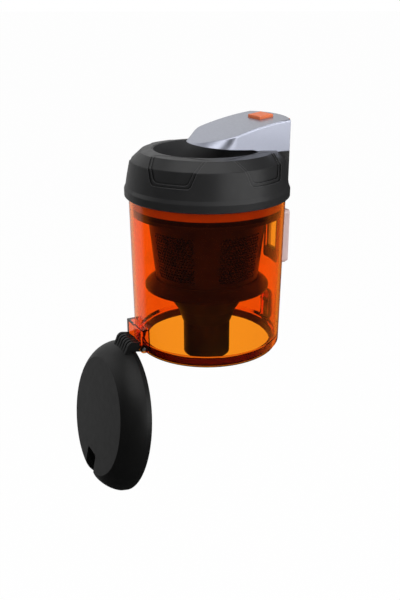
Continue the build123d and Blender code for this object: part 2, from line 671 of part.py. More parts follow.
def make_handle_shell():
    outer = handle_solid(0)
    top_edges = outer.faces().sort_by(Axis.Z)[-1].edges()
    outer = fillet(top_edges, HANDLE_EDGE_R) - under_tongue(0)
    shell = outer - handle_solid(HANDLE_WALL)
    shell -= button_space(BUTTON_END_GAP, BUTTON_SIDE_GAP)
    half = HOOK_WIDTH / 2 + BUTTON_SIDE_GAP
    slot_z = (LEVER_Z - HOOK_DROP - HOOK_GAP, LEVER_Z + HOOK_THICK + HOOK_GAP)
    return shell - block((BLOCK_X - 2 * HANDLE_WALL, DOCK_X), (-half, half), slot_z)


def lever_ears():
    """Two ears that stand on the base and carry the lever's pin."""
    near = LEVER_HUB_LENGTH / 2 + LEVER_EAR_GAP
    half = LEVER_EAR_LENGTH / 2
    stem = block((LEVER_X - half, LEVER_X + half), (near, near + LEVER_EAR), (BLOCK_TOP, LEVER_Z))
    ears = stem + mirror(stem, Plane.XZ)
    tops = cross_pin(LEVER_X, LEVER_Z, half, 2 * (near + LEVER_EAR))
    return ears + (tops - block((0, DOCK_X), (-near, near), (BLOCK_TOP, LEVER_Z + half)))


def make_handle_base():
    column = handle_solid(HANDLE_WALL + BASE_FIT)
    tongue = (under_tongue(BASE_THICK) - under_tongue(0)) & column
    floor_x = (TONGUE_ROOT_X - BASE_THICK, BLOCK_X)
    half = HANDLE_WIDTH / 2
    floor = block(floor_x, (-half, half), (BLOCK_TOP, BASE_FLOOR)) & column
    floor -= under_tongue(0)
    base = tongue + floor + lever_ears()
    return base - cross_pin(LEVER_X, LEVER_Z, LEVER_PIN_R + SEAT_GAP, HANDLE_WIDTH)


def make_release_lever():
    plate_low = LEVER_Z - LEVER_PLATE
    front_x = BUTTON_X - BUTTON_LENGTH / 2
    back_x = front_x + BUTTON_LENGTH
    outline = Polyline((front_x, plate_low), (front_x, handle_line(front_x) + BUTTON_PROUD),
                       (back_x, handle_line(back_x) + BUTTON_PROUD), (back_x, plate_low), close=True)
    button = side_plate(make_face(outline), BUTTON_WIDTH)
    button = fillet(button.faces().sort_by(Axis.Z)[-1].edges(), BUTTON_EDGE_R)
    half = BUTTON_WIDTH / 2
    plate = block((front_x, LEVER_X), (-half, half), (plate_low, LEVER_Z))
    hub = cross_pin(LEVER_X, LEVER_Z, LEVER_HUB_R, LEVER_HUB_LENGTH)
    hook_half = HOOK_WIDTH / 2
    tip_x = BLOCK_X + HOOK_OUT
    arm = block((LEVER_X, tip_x), (-hook_half, hook_half), (LEVER_Z, LEVER_Z + HOOK_THICK))
    tip = block((tip_x - HOOK_TIP, tip_x), (-hook_half, hook_half), (LEVER_Z - HOOK_DROP, LEVER_Z + HOOK_THICK))
    tip = chamfer(tip.edges().filter_by(Axis.Y).group_by(Axis.X)[-1], HOOK_DROP)
    lever = button + plate + hub + arm + tip
    return lever - cross_pin(LEVER_X, LEVER_Z, LEVER_PIN_R + PIN_FIT, HANDLE_WIDTH)


def make_lever_pin():
    return cross_pin(LEVER_X, LEVER_Z, LEVER_PIN_R, LEVER_HUB_LENGTH + 2 * (LEVER_EAR_GAP + LEVER_EAR))


def make_lever_spring():
    """Coil spring between the handle's base and the lever, under the button."""
    low = BASE_FLOOR + SPRING_WIRE_R + SPRING_SEAT
    high = LEVER_Z - LEVER_PLATE - SPRING_WIRE_R - SPRING_SEAT
    coil = Helix((high - low) / SPRING_TURNS, high - low, SPRING_R)
    wire = sweep(Plane(coil @ 0, z_dir=coil % 0) * Circle(SPRING_WIRE_R), coil)
    return Pos(BUTTON_X, 0, low) * wire


def shroud_radius(z):
    """Outer radius of the shroud's cone at a height."""
    return SHROUD_FOOT_R + (SHROUD_TOP_R - SHROUD_FOOT_R) * (z - SHROUD_FOOT_Z) / SHROUD_LENGTH


def mesh_holes():
    """Six-sided holes in staggered rows, in panels round the shroud's cone."""
    low = SHROUD_FOOT_Z + MESH_LOW_MARGIN
    high = FLANGE_Z - MESH_TOP_MARGIN
    rise = MESH_PITCH * sqrt(3) / 2
    rows = int((high - low) / rise) + 1
    reach = 2 * SHROUD_WALL
    tool = Rot(0, 90, 0) * extrude(RegularPolygon(MESH_HOLE_R, MESH_HOLE_SIDES), amount=reach, both=True)
    holes = []
    for row in range(rows):
        z = low + row * rise
        angle = MESH_PITCH / radians(1) / shroud_radius(z)
        count = int(MESH_PANEL_ANGLE / angle) + row % 2
        for panel in range(MESH_PANELS):
            middle = MESH_TURN + panel * 360 / MESH_PANELS
            for index in range(count):
                turn = middle + (index - (count - 1) / 2) * angle
                holes.append(Rot(0, 0, turn) * Pos(shroud_radius(z), 0, z) * tool)
    return holes


def make_mesh_shroud():
    wall = SHROUD_WALL
    cone = turned((SHROUD_FOOT_R, SHROUD_FOOT_Z), (SHROUD_TOP_R, FLANGE_Z), (SHROUD_TOP_R - wall, FLANGE_Z),
                  (SHROUD_FOOT_R - wall, SHROUD_FOOT_Z))
    return cone - mesh_holes()


def make_shroud_flange():
    """Flange and neck that carry the shroud in the collar, with the baffle beside the inlet."""
    high = FLANGE_Z + FLANGE_THICK
    neck_in = NECK_R - NECK_WALL
    flange = turned((SHROUD_TOP_R - SHROUD_WALL, FLANGE_Z), (FLANGE_R, FLANGE_Z), (FLANGE_R, high), (NECK_R, high),
                    (NECK_R, high + NECK_HEIGHT), (neck_in, high + NECK_HEIGHT), (neck_in, high),
                    (SHROUD_TOP_R - SHROUD_WALL, high))
    side = INLET_Y + INLET_WIDTH / 2
    low = FLANGE_Z - BAFFLE_LENGTH
    near = SHROUD_TOP_R + SWING_GAP
    width = bin_radius(low) - BIN_WALL - BAFFLE_GAP - near
    baffle = block((near, near + width), (side, side + BAFFLE_THICK), (low, high))
    low_edges = baffle.edges().filter_by(Axis.Y).group_by(Axis.Z)[0]
    return flange + fillet(low_edges, min(BAFFLE_ROUND_R, width / 3))


def make_shroud_skirt():
    low = SHROUD_FOOT_Z - SKIRT_CONE_DROP
    high = SHROUD_FOOT_Z + SKIRT_CONE_LAP
    inner = shroud_radius(high) + SEAT_GAP
    foot = SHROUD_FOOT_R + SEAT_GAP
    wall = SKIRT_CONE_WALL
    return turned((foot, SHROUD_FOOT_Z), (inner, high), (inner + wall / 2, high), (SKIRT_CONE_R, low + wall),
                  (SKIRT_CONE_R, low), (SKIRT_CONE_R - wall, low), (foot, SHROUD_FOOT_Z - wall))


def make_lower_cone():
    top = SHROUD_FOOT_Z + SKIRT_CONE_LAP
    wall = FUNNEL_WALL
    low_r = TUBE_R + SEAT_GAP
    lip_r = SHROUD_FOOT_R - SHROUD_WALL - SEAT_GAP
    return turned((lip_r, SHROUD_FOOT_Z), (lip_r, top), (lip_r - wall, top), (FUNNEL_TOP_R - wall, SHROUD_FOOT_Z - wall),
                  (FUNNEL_WAIST_R - wall, FUNNEL_WAIST_Z), (low_r, FUNNEL_LOW_Z), (low_r + wall / 2, FUNNEL_LOW_Z),
                  (FUNNEL_WAIST_R, FUNNEL_WAIST_Z), (FUNNEL_TOP_R, SHROUD_FOOT_Z - wall))


def make_dust_tube():
    top = FUNNEL_LOW_Z + FUNNEL_WALL
    tube = ring(TUBE_R, TUBE_R - TUBE_WALL, -TUBE_DROP, top)
    foot = [e for e in tube.edges().filter_by(GeomType.CIRCLE) if e.center().Z < 0]
    return fillet(foot, TUBE_EDGE_R)


def make_filter_frame():
    high = SEAT_Z
    ring_low = high - FILTER_RING_THICK
    cap_top = ring_low - FILTER_LENGTH
    top = ring(FILTER_RING_R, PLEAT_IN_R - 2 * PLEAT_THICK, ring_low, high)
    cap = ring(FILTER_CAP_R + FOAM_WALL, 0, cap_top - FILTER_CAP_THICK, cap_top)
    core_r = PLEAT_IN_R - PLEAT_THICK
    cage = ring(core_r, core_r - PLEAT_THICK, cap_top, ring_low)
    slot = block((0, PLEAT_IN_R), (-PLEAT_THICK - FILTER_RING_THICK, PLEAT_THICK + FILTER_RING_THICK),
                 (cap_top + FILTER_RING_THICK, ring_low - FILTER_RING_THICK))
    for index in range(MESH_PANELS):
        cage -= Rot(0, 0, index * 360 / MESH_PANELS) * slot
    return top + cap + cage


def make_pleated_filter():
    """Star of pleats between the cartridge's cap and its ring."""
    def star(outer_r, inner_r):
        points = []
        for index in range(PLEAT_COUNT):
            for share, radius in ((0, outer_r), (0.5, inner_r)):
                turn = radians((index + share) * 360 / PLEAT_COUNT)
                points.append((radius * cos(turn), radius * sin(turn)))
        return make_face(Polyline(*points, close=True))
    inner = star(PLEAT_OUT_R - 2 * PLEAT_THICK, PLEAT_IN_R + SEAT_GAP)
    outer = star(PLEAT_OUT_R, PLEAT_IN_R + PLEAT_THICK)
    low = SEAT_Z - FILTER_RING_THICK - FILTER_LENGTH
    return Pos(0, 0, low) * extrude(outer - inner, amount=FILTER_LENGTH)


def make_foam_sleeve():
    low = SEAT_Z - FILTER_RING_THICK - FILTER_LENGTH
    return ring(FOAM_IN_R + FOAM_WALL, FOAM_IN_R, low, low + FILTER_LENGTH)


PIECES = {
    "dust_bin": make_dust_bin,
    "bin_bottom_seal": make_bin_bottom_seal,
    "inlet_gasket": make_inlet_gasket,
    "hinge_pin": make_hinge_pin,
    "lid_shell": make_lid_shell,
    "tube_seal": make_tube_seal,
    "lid_latch": make_lid_latch,
    "latch_pin": make_latch_pin,
    "latch_spring": make_latch_spring,
    "collar_ring": make_collar_ring,
    "collar_dish": make_collar_dish,
    "collar_seal": make_collar_seal,
    "outlet_gasket": make_outlet_gasket,
    "handle_shell": make_handle_shell,
    "handle_base": make_handle_base,
    "release_lever": make_release_lever,
    "lever_pin": make_lever_pin,
    "lever_spring": make_lever_spring,
    "mesh_shroud": make_mesh_shroud,
    "shroud_flange": make_shroud_flange,
    "shroud_skirt": make_shroud_skirt,
    "lower_cone": make_lower_cone,
    "dust_tube": make_dust_tube,
    "filter_frame": make_filter_frame,
    "pleated_filter": make_pleated_filter,
    "foam_sleeve": make_foam_sleeve,
}

os.makedirs("parts", exist_ok=True)
to_dock = Pos(-DOCK_X, -INLET_Y, -DOCK_Z)
for name, make in PIECES.items():
    piece = to_dock * make()
    piece.label = name
    export_step(piece, f"parts/{name}.step")
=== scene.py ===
"""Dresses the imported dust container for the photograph: camera, studio light, finishes, fine shroud and springs.

Metres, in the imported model's own frame: +X is the docking side, +Z is up along the bin's axis.
"""
import json
import math

import bmesh
import bpy
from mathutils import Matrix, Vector


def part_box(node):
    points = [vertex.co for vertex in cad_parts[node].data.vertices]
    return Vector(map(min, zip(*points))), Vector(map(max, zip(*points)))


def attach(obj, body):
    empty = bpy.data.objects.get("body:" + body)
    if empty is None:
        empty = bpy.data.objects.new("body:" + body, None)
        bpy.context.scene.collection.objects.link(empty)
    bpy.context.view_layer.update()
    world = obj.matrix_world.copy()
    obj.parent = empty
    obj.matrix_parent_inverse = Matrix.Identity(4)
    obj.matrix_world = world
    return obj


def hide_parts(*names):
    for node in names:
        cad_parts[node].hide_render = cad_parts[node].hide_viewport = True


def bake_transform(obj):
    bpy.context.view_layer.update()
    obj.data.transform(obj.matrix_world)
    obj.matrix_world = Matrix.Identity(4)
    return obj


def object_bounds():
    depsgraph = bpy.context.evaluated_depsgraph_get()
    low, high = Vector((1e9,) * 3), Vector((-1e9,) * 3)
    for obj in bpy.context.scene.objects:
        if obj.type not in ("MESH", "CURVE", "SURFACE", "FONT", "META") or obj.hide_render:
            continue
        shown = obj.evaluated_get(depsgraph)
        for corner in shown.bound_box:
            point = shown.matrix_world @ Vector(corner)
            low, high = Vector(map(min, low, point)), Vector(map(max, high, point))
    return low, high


MM = 0.001
X_AXIS = 0
Z_AXIS = 2

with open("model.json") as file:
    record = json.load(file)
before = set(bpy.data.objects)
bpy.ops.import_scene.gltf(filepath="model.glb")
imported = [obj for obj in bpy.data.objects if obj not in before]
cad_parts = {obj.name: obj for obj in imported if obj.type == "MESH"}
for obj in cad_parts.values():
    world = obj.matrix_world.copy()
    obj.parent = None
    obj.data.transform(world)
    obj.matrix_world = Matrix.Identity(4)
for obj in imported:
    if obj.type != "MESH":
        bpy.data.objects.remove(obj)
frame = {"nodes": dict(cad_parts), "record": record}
cad_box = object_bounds()
nodes_of = frame["nodes"]

# Camera, from a perspective fit to the photograph
CAMERA_AT = (-0.32694, -0.48771, 0.18668)
CAMERA_TURN = math.radians(27.45)
CAMERA_PITCH = math.radians(21.43)
CAMERA_LENS = 44.5
CAMERA_SENSOR = 36.0
CAMERA_NEAR = 10 * MM

# Floor, far below the floating container and wide enough to have no edge in view
FLOOR_DROP = 0.27
FLOOR_SIZE = 400.0
FLOOR_WHITE = (0.94, 0.94, 0.94, 1.0)
FLOOR_GLOW = 0.985

# Room and the white backdrop that glossy surfaces reflect, bounded by how far a ray goes along a
# heading and by how steeply it rises
ROOM_LEVEL = 0.04
WHITE = (1.0, 1.0, 1.0, 1.0)
BACKDROP_TURN = CAMERA_TURN - math.radians(30)
BACKDROP_EDGE = (0.66, 0.80)
BACKDROP_FOOT = (0.0, 0.4)
BACKDROP_LOW = 0.46
BACKDROP_HEAD = (0.5, 0.85)
BACKDROP_TOP = 0.4

# Back wall that rays reflected inside the clear plastic see
WALL_EDGE = (-0.1, 0.3)

# Lamps: where each stands from the bin's axis, its width and height, and its power
TOP_BOX_AT = (-0.2, -0.2, 0.95)
TOP_BOX_SIZE = (1.2, 1.2)
TOP_BOX_WATTS = 11.0
LEFT_BOX_AT = (-0.75, 0.55, 0.5)
LEFT_BOX_SIZE = (0.7, 0.8)
LEFT_BOX_WATTS = 1.8
RIGHT_BOX_AT = (0.5, -1.1, 0.35)
RIGHT_BOX_SIZE = (1.6, 0.9)
RIGHT_BOX_WATTS = 14.0

# Clear plastic: how it bends light, and the colour and strength of what its depth takes out
CLEAR_IOR = 1.46
CLEAR_DEPTH_TINT = (0.969, 0.54, 0.02)
CLEAR_DENSITY = 150.0

# Inlet frame: pale beyond this distance from the bin's axis and above this height, on the docking side
FRAME_START_R = 60.6 * MM
FRAME_START_Z = -20 * MM
FRAME_FADE = 0.3 * MM

# Colours of the finishes
CLEAR_ORANGE = (0.985, 0.34, 0.016)
FRAME_PALE = (0.58, 0.43, 0.42)
COLLAR_BLACK = (0.018, 0.018, 0.0185)
# Pale painted highlight and wear for the collar's edges
COLLAR_EDGE_WEAR_HIGHLIGHT = (0.09, 0.09, 0.093)
# The collar's black painted a shade lighter on the dish, as painted light
DISH_PAINTED_LIGHT_GREY = (0.028, 0.028, 0.029)
LID_BLACK = (0.0055, 0.0055, 0.0054)
# Pale painted highlight and wear for the lid's edges
LID_EDGE_WEAR_HIGHLIGHT = (0.03, 0.03, 0.03)
# Painted shade for inner corners
CORNER_SHADE = (0.001, 0.001, 0.001)
HANDLE_SILVER = (0.365, 0.382, 0.455)
BUTTON_ORANGE = (0.74, 0.155, 0.038)
CYCLONE_DARK = (0.030, 0.034, 0.034)
RUBBER_BLACK = (0.014, 0.014, 0.014)
RUBBER_AMBER = (0.17, 0.052, 0.024)
STEEL_BRIGHT = (0.62, 0.62, 0.64)
PAPER_PALE = (0.80, 0.79, 0.74)
FOAM_GREY = (0.02, 0.02, 0.022)

# Painted shade in corners, and pale painted highlight with wear on edges: how many radii off a corner the painted
# shade reaches, the openness over which it fades out, and the agreement of a rounded edge's normal with the flat
# one over which the painted highlight and wear set in
CORNER_REACH = 14.0
CORNER_RANGE = (0.62, 0.99)
EDGE_RANGE = (0.985, 0.80)

# Part of a noise texture's range that is spread over a finish's range
NOISE_LOW = 0.3
NOISE_HIGH = 0.7

# Shroud mesh, whose cone is the CAD cone
SHROUD_FOOT_R = 40.2 * MM
SHROUD_WALL = 1.4 * MM
MESH_COLUMNS = 100
MESH_ROWS = 22
MESH_HOLE_SHARE = 0.40
MESH_PANELS = 5
MESH_PANEL_HALF = math.radians(23.5)
MESH_TURN = math.radians(-81.4)
MESH_LOW_ROWS = 3
MESH_HIGH_ROWS = 4
HOLE_POINTS = 12
SHARP_ANGLE = math.radians(40)

# Whole-number lattice that the shroud's six-sided cells share: units to the next column and the next row
LATTICE_STEP = 4
LATTICE_RISE = 6


def bin_axis():
    """X and Y of the bin's axis, which the foam sleeve is round."""
    low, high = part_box("foam_sleeve")
    return (low[0] + high[0]) / 2, (low[1] + high[1]) / 2


def look_along(turn, pitch):
    """Unit vector for a heading to the right of +Y and a pitch below the horizon."""
    flat = math.cos(pitch)
    return Vector((math.sin(turn) * flat, math.cos(turn) * flat, -math.sin(pitch)))


def add_camera():
    data = bpy.data.cameras.new("photo_camera")
    data.sensor_fit = "VERTICAL"
    data.sensor_height = CAMERA_SENSOR
    data.lens = CAMERA_LENS
    data.clip_start = CAMERA_NEAR
    camera = bpy.data.objects.new("photo_camera", data)
    camera.location = CAMERA_AT
    camera.rotation_euler = look_along(CAMERA_TURN, CAMERA_PITCH).to_track_quat("-Z", "Y").to_euler()
    bpy.context.scene.collection.objects.link(camera)
    bpy.context.scene.camera = camera


def add_softbox(name, offset, size, watts):
    """A rectangular lamp turned to the bin's axis, unseen by the camera and through the clear plastic."""
    aim = Vector(bin_axis() + (0.0,))
    place = aim + Vector(offset)
    data = bpy.data.lights.new(name, "AREA")
    data.shape = "RECTANGLE"
    data.size, data.size_y = size
    data.energy = watts
    lamp = bpy.data.objects.new(name, data)
    lamp.location = place
    lamp.rotation_euler = (aim - place).to_track_quat("-Z", "Y").to_euler()
    lamp.visible_camera = False
    lamp.visible_transmission = False
    bpy.context.scene.collection.objects.link(lamp)


def ranged(tree, value, span, results):
    """A value carried smoothly from one span to another."""
    spread = tree.nodes.new("ShaderNodeMapRange")
    spread.interpolation_type = "SMOOTHSTEP"
    spread.inputs["From Min"].default_value, spread.inputs["From Max"].default_value = span
    spread.inputs["To Min"].default_value, spread.inputs["To Max"].default_value = results
    tree.links.new(value, spread.inputs["Value"])
    return spread.outputs["Result"]


def share_of(tree, value, span):
    """How far a value has gone through a span, from nought to one."""
    return ranged(tree, value, span, (0.0, 1.0))


def maths(tree, operation, first, second):
    """The result of a two-input maths node."""
    node = tree.nodes.new("ShaderNodeMath")
    node.operation = operation
    tree.links.new(first, node.inputs[0])
    tree.links.new(second, node.inputs[1])
    return node.outputs["Value"]


def product(tree, first, *others):
    """Values multiplied together."""
    for other in others:
        first = maths(tree, "MULTIPLY", first, other)
    return first


def mixed_shader(tree, share, first, second):
    """A mix of two shaders by a share of the second."""
    mix = tree.nodes.new("ShaderNodeMixShader")
    tree.links.new(share, mix.inputs["Fac"])
    tree.links.new(first.outputs[0], mix.inputs[1])
    tree.links.new(second.outputs[0], mix.inputs[2])
    return mix


def background_rays(tree):
    """Three kinds of ray: seen by the camera, also straight through clear plastic; reflected; and reflected
    inside the clear plastic on the way."""
    path = tree.nodes.new("ShaderNodeLightPath")
    through = path.outputs["Is Transmission Ray"]
    inside = product(tree, through, share_of(tree, path.outputs["Glossy Depth"], (0.0, 1.0)))
    straight = maths(tree, "SUBTRACT", through, inside)
    seen = maths(tree, "MAXIMUM", path.outputs["Is Camera Ray"], straight)
    return seen, path.outputs["Is Glossy Ray"], inside


def along(tree, way, turn):
    """How far a direction goes along a level heading."""
    dot = tree.nodes.new("ShaderNodeVectorMath")
    dot.operation = "DOT_PRODUCT"
    dot.inputs[1].default_value = look_along(turn, 0.0)
    tree.links.new(way, dot.inputs[0])
    return dot.outputs["Value"]


def add_world():
    """A dim room, white to the camera, with a white backdrop for glossy surfaces and a white wall at the back."""
    world = bpy.data.worlds.new("studio")
    world.use_nodes = True
    tree = world.node_tree
    tree.nodes.clear()
    way = tree.nodes.new("ShaderNodeTexCoord").outputs["Generated"]
    split = tree.nodes.new("ShaderNodeSeparateXYZ")
    tree.links.new(way, split.inputs["Vector"])
    height = split.outputs["Z"]
    across = share_of(tree, along(tree, way, BACKDROP_TURN), BACKDROP_EDGE)
    rise = ranged(tree, height, BACKDROP_FOOT, (BACKDROP_LOW, 1.0))
    fall = ranged(tree, height, BACKDROP_HEAD, (1.0, BACKDROP_TOP))
    wall = share_of(tree, along(tree, way, CAMERA_TURN), WALL_EDGE)
    seen, reflected, inside = background_rays(tree)
    backdrop = product(tree, reflected, across, rise, fall)
    shown = maths(tree, "MAXIMUM", backdrop, product(tree, inside, wall))
    room = tree.nodes.new("ShaderNodeBackground")
    room.inputs["Color"].default_value = WHITE
    room.inputs["Strength"].default_value = ROOM_LEVEL
    white = tree.nodes.new("ShaderNodeBackground")
    white.inputs["Color"].default_value = WHITE
    mix = mixed_shader(tree, maths(tree, "MAXIMUM", seen, shown), room, white)
    out = tree.nodes.new("ShaderNodeOutputWorld")
    tree.links.new(mix.outputs["Shader"], out.inputs["Surface"])
    bpy.context.scene.world = world


def add_floor():
    """A plain white floor that keeps a faint shadow, and lets reflected rays through to the room."""
    z = cad_box[0][Z_AXIS] - FLOOR_DROP
    half = FLOOR_SIZE / 2
    corners = [(-half, -half, z), (half, -half, z), (half, half, z), (-half, half, z)]
    mesh = bpy.data.meshes.new("floor")
    mesh.from_pydata(corners, [], [range(len(corners))])
    floor = bpy.data.objects.new("floor", mesh)
    bpy.context.scene.collection.objects.link(floor)
    material = bpy.data.materials.new("floor_white")
    material.use_nodes = True
    tree = material.node_tree
    tree.nodes.clear()
    seen, reflected, inside = background_rays(tree)
    matt = tree.nodes.new("ShaderNodeBsdfDiffuse")
    matt.inputs["Color"].default_value = FLOOR_WHITE
    glow = tree.nodes.new("ShaderNodeEmission")
    white = mixed_shader(tree, ranged(tree, seen, (0.0, 1.0), (0.0, FLOOR_GLOW)), matt, glow)
    unseen = tree.nodes.new("ShaderNodeBsdfTransparent")
    mix = mixed_shader(tree, maths(tree, "MAXIMUM", reflected, inside), white, unseen)
    out = tree.nodes.new("ShaderNodeOutputMaterial")
    tree.links.new(mix.outputs["Shader"], out.inputs["Surface"])
    mesh.materials.append(material)


class Surface:
    """A node material on one principled shader, with its textures in metres of the part."""

    def __init__(self, name, colour, roughness):
        self.material = bpy.data.materials.new(name)
        self.material.use_nodes = True
        self.tree = self.material.node_tree
        self.nodes = self.tree.nodes
        self.links = self.tree.links
        self.shader = self.nodes["Principled BSDF"]
        self.place = self.nodes.new("ShaderNodeTexCoord").outputs["Object"]
        self.colour = colour
        self.roughness = roughness
        self.normal = None
        self.set("Base Color", (*colour, 1.0))
        self.set("Roughness", roughness)

    def set(self, socket, value):
        """One value all over the surface."""
        self.shader.inputs[socket].default_value = value

    def feed(self, socket, value):
        """A value that differs over the surface."""
        self.links.new(value, self.shader.inputs[socket])

    def noise(self, size, detail=2.0, stretch=(1.0, 1.0, 1.0)):
        """Noise with features of a size in metres, drawn out along an axis where asked."""
        texture = self.nodes.new("ShaderNodeTexNoise")
        texture.inputs["Scale"].default_value = 1.0 / size
        texture.inputs["Detail"].default_value = detail
        scale = self.nodes.new("ShaderNodeMapping")
        scale.inputs["Scale"].default_value = stretch
        self.links.new(self.place, scale.inputs["Vector"])
        self.links.new(scale.outputs["Vector"], texture.inputs["Vector"])
        return texture.outputs["Fac"]

    def wander(self, size, low, high):
        """Noise spread between two numbers."""
        spread = self.nodes.new("ShaderNodeMapRange")
        spread.inputs["From Min"].default_value = NOISE_LOW
        spread.inputs["From Max"].default_value = NOISE_HIGH
        spread.inputs["To Min"].default_value = low
        spread.inputs["To Max"].default_value = high
        self.links.new(self.noise(size), spread.inputs["Value"])
        return spread.outputs["Result"]

    def mixed(self, first, second, share):
        """A colour that goes from one to another with a share. Each is a colour or a node's output."""
        mix = self.nodes.new("ShaderNodeMix")
        mix.data_type = "RGBA"
        for socket, colour in (("A", first), ("B", second)):
            if isinstance(colour, tuple):
                mix.inputs[socket].default_value = (*colour, 1.0)
            else:
                self.links.new(colour, mix.inputs[socket])
        self.links.new(share, mix.inputs["Factor"])
        return mix.outputs["Result"]

    def uneven_gloss(self, size, amount):
        """Roughness that wanders about its middle value."""
        self.feed("Roughness", self.wander(size, self.roughness - amount, self.roughness + amount))
        return self

    def mottled(self, size, change):
        """Colour that wanders a little lighter and darker."""
        darker = tuple(c * (1 - change) for c in self.colour)
        lighter = tuple(min(c * (1 + change), 1.0) for c in self.colour)
        self.feed("Base Color", self.mixed(darker, lighter, self.wander(size, 0.0, 1.0)))
        return self

    def rounded(self, radius):
        """The normal of edges broken by a small radius."""
        bevel = self.nodes.new("ShaderNodeBevel")
        bevel.inputs["Radius"].default_value = radius
        return bevel.outputs["Normal"]

    def soft_edges(self, radius):
        """Edges that catch the light as if broken by a small radius."""
        self.normal = self.rounded(radius)
        self.feed("Normal", self.normal)
        return self

    def painted_shade_and_edge_highlight_wear(self, radius, shade, pale):
        """Painted shade in inner corners and a pale painted highlight with wear along outer edges, on a mottled
        colour.
        """
        corner = self.nodes.new("ShaderNodeAmbientOcclusion")
        corner.only_local = True
        corner.inputs["Distance"].default_value = CORNER_REACH * radius
        openness = share_of(self.tree, corner.outputs["AO"], CORNER_RANGE)
        flat = self.nodes.new("ShaderNodeNewGeometry")
        lean = self.nodes.new("ShaderNodeVectorMath")
        lean.operation = "DOT_PRODUCT"
        self.links.new(flat.outputs["Normal"], lean.inputs[0])
        self.links.new(self.rounded(radius), lean.inputs[1])
        edge = share_of(self.tree, lean.outputs["Value"], EDGE_RANGE)
        plain = self.shader.inputs["Base Color"].links[0].from_socket
        shaded = self.mixed(shade, plain, openness)
        self.feed("Base Color", self.mixed(shaded, pale, product(self.tree, edge, openness)))
        return self

    def relief(self, height, size, detail=3.0, stretch=(1.0, 1.0, 1.0)):
        """Fine bumps of a height and a size in metres."""
        return self.bumped(self.noise(size, detail, stretch), height)

    def bumped(self, value, height):
        """Bumps of a height in metres that follow a texture, on top of soft edges."""
        bump = self.nodes.new("ShaderNodeBump")
        bump.inputs["Distance"].default_value = height
        self.links.new(value, bump.inputs["Height"])
        if self.normal:
            self.links.new(self.normal, bump.inputs["Normal"])
        self.normal = bump.outputs["Normal"]
        self.feed("Normal", self.normal)
        return self

    def cells(self, size):
        """Distance to the nearest point of a scattered set, for open foam."""
        texture = self.nodes.new("ShaderNodeTexVoronoi")
        texture.inputs["Scale"].default_value = 1.0 / size
        self.links.new(self.place, texture.inputs["Vector"])
        return texture.outputs["Distance"]

    def beyond(self, centre, radius, fade):
        """One outside a radius about an upright axis, above the centre and on its +X side, else nought."""
        away = self.nodes.new("ShaderNodeVectorMath")
        away.operation = "SUBTRACT"
        away.inputs[1].default_value = centre
        self.links.new(self.place, away.inputs[0])
        split = self.nodes.new("ShaderNodeSeparateXYZ")
        self.links.new(away.outputs["Vector"], split.inputs["Vector"])
        flat = self.nodes.new("ShaderNodeCombineXYZ")
        self.links.new(split.outputs["X"], flat.inputs["X"])
        self.links.new(split.outputs["Y"], flat.inputs["Y"])
        reach = self.nodes.new("ShaderNodeVectorMath")
        reach.operation = "LENGTH"
        self.links.new(flat.outputs["Vector"], reach.inputs[0])
        outside = share_of(self.tree, reach.outputs["Value"], (radius, radius + fade))
        ahead = share_of(self.tree, split.outputs["X"], (0.0, fade))
        above = share_of(self.tree, split.outputs["Z"], (0.0, fade))
        return product(self.tree, outside, ahead, above)

    def clear(self, ior, tint, density):
        """Light passes through, and the depth of material colours it."""
        self.set("Transmission Weight", 1.0)
        self.set("IOR", ior)
        absorb = self.nodes.new("ShaderNodeVolumeAbsorption")
        absorb.inputs["Color"].default_value = (*tint, 1.0)
        absorb.inputs["Density"].default_value = density
        self.links.new(absorb.outputs["Volume"], self.nodes["Material Output"].inputs["Volume"])
        return self


def clear_orange():
    """The bin, clear orange, but pale and cloudy where the inlet's frame stands out from its round wall."""
    surface = Surface("clear_orange_plastic", CLEAR_ORANGE, roughness=0.03)
    surface.uneven_gloss(size=6 * MM, amount=0.015).relief(height=0.02 * MM, size=9 * MM, detail=1.0)
    surface.clear(CLEAR_IOR, CLEAR_DEPTH_TINT, CLEAR_DENSITY)
    inlet = surface.beyond((*bin_axis(), FRAME_START_Z), FRAME_START_R, FRAME_FADE)
    surface.feed("Base Color", surface.mixed(CLEAR_ORANGE, FRAME_PALE, inlet))
    surface.feed("Transmission Weight", ranged(surface.tree, inlet, (0.0, 1.0), (1.0, 0.0)))
    return surface


def clear_gasket():
    """The inlet's gasket and the collar's seal, as pale as the inlet's frame."""
    surface = Surface("pale_gasket", FRAME_PALE, roughness=0.5)
    return surface.uneven_gloss(size=3 * MM, amount=0.08).relief(height=0.03 * MM, size=0.8 * MM)


def black_satin():
    """The collar and the handle's base, with a pale painted highlight and wear along edges and painted shade in
    corners such as the grip recesses'.
    """
    surface = Surface("black_satin_plastic", COLLAR_BLACK, roughness=0.38)
    surface.set("Specular IOR Level", 0.2)
    surface.uneven_gloss(size=4 * MM, amount=0.03).mottled(size=14 * MM, change=0.08)
    surface.painted_shade_and_edge_highlight_wear(radius=0.8 * MM, shade=CORNER_SHADE, pale=COLLAR_EDGE_WEAR_HIGHLIGHT)
    return surface.soft_edges(radius=0.5 * MM).relief(height=0.006 * MM, size=0.4 * MM)


def dish_painted_light_satin():
    """The collar's dish, a shade lighter than the collar as painted light on its inner wall."""
    surface = Surface("grey_satin_plastic", DISH_PAINTED_LIGHT_GREY, roughness=0.5)
    surface.uneven_gloss(size=4 * MM, amount=0.03).mottled(size=14 * MM, change=0.08)
    return surface.soft_edges(radius=0.5 * MM).relief(height=0.006 * MM, size=0.4 * MM)


def charcoal():
    """The lid's plastic, darker than the collar, with a little pale painted highlight and wear at its edges and
    painted shade in its corners.
    """
    surface = Surface("charcoal_plastic", LID_BLACK, roughness=0.42)
    surface.set("Specular IOR Level", 0.17)
    surface.uneven_gloss(size=5 * MM, amount=0.02).mottled(size=18 * MM, change=0.06)
    surface.painted_shade_and_edge_highlight_wear(radius=0.4 * MM, shade=CORNER_SHADE, pale=LID_EDGE_WEAR_HIGHLIGHT)
    return surface.soft_edges(radius=0.25 * MM).relief(height=0.008 * MM, size=0.4 * MM)


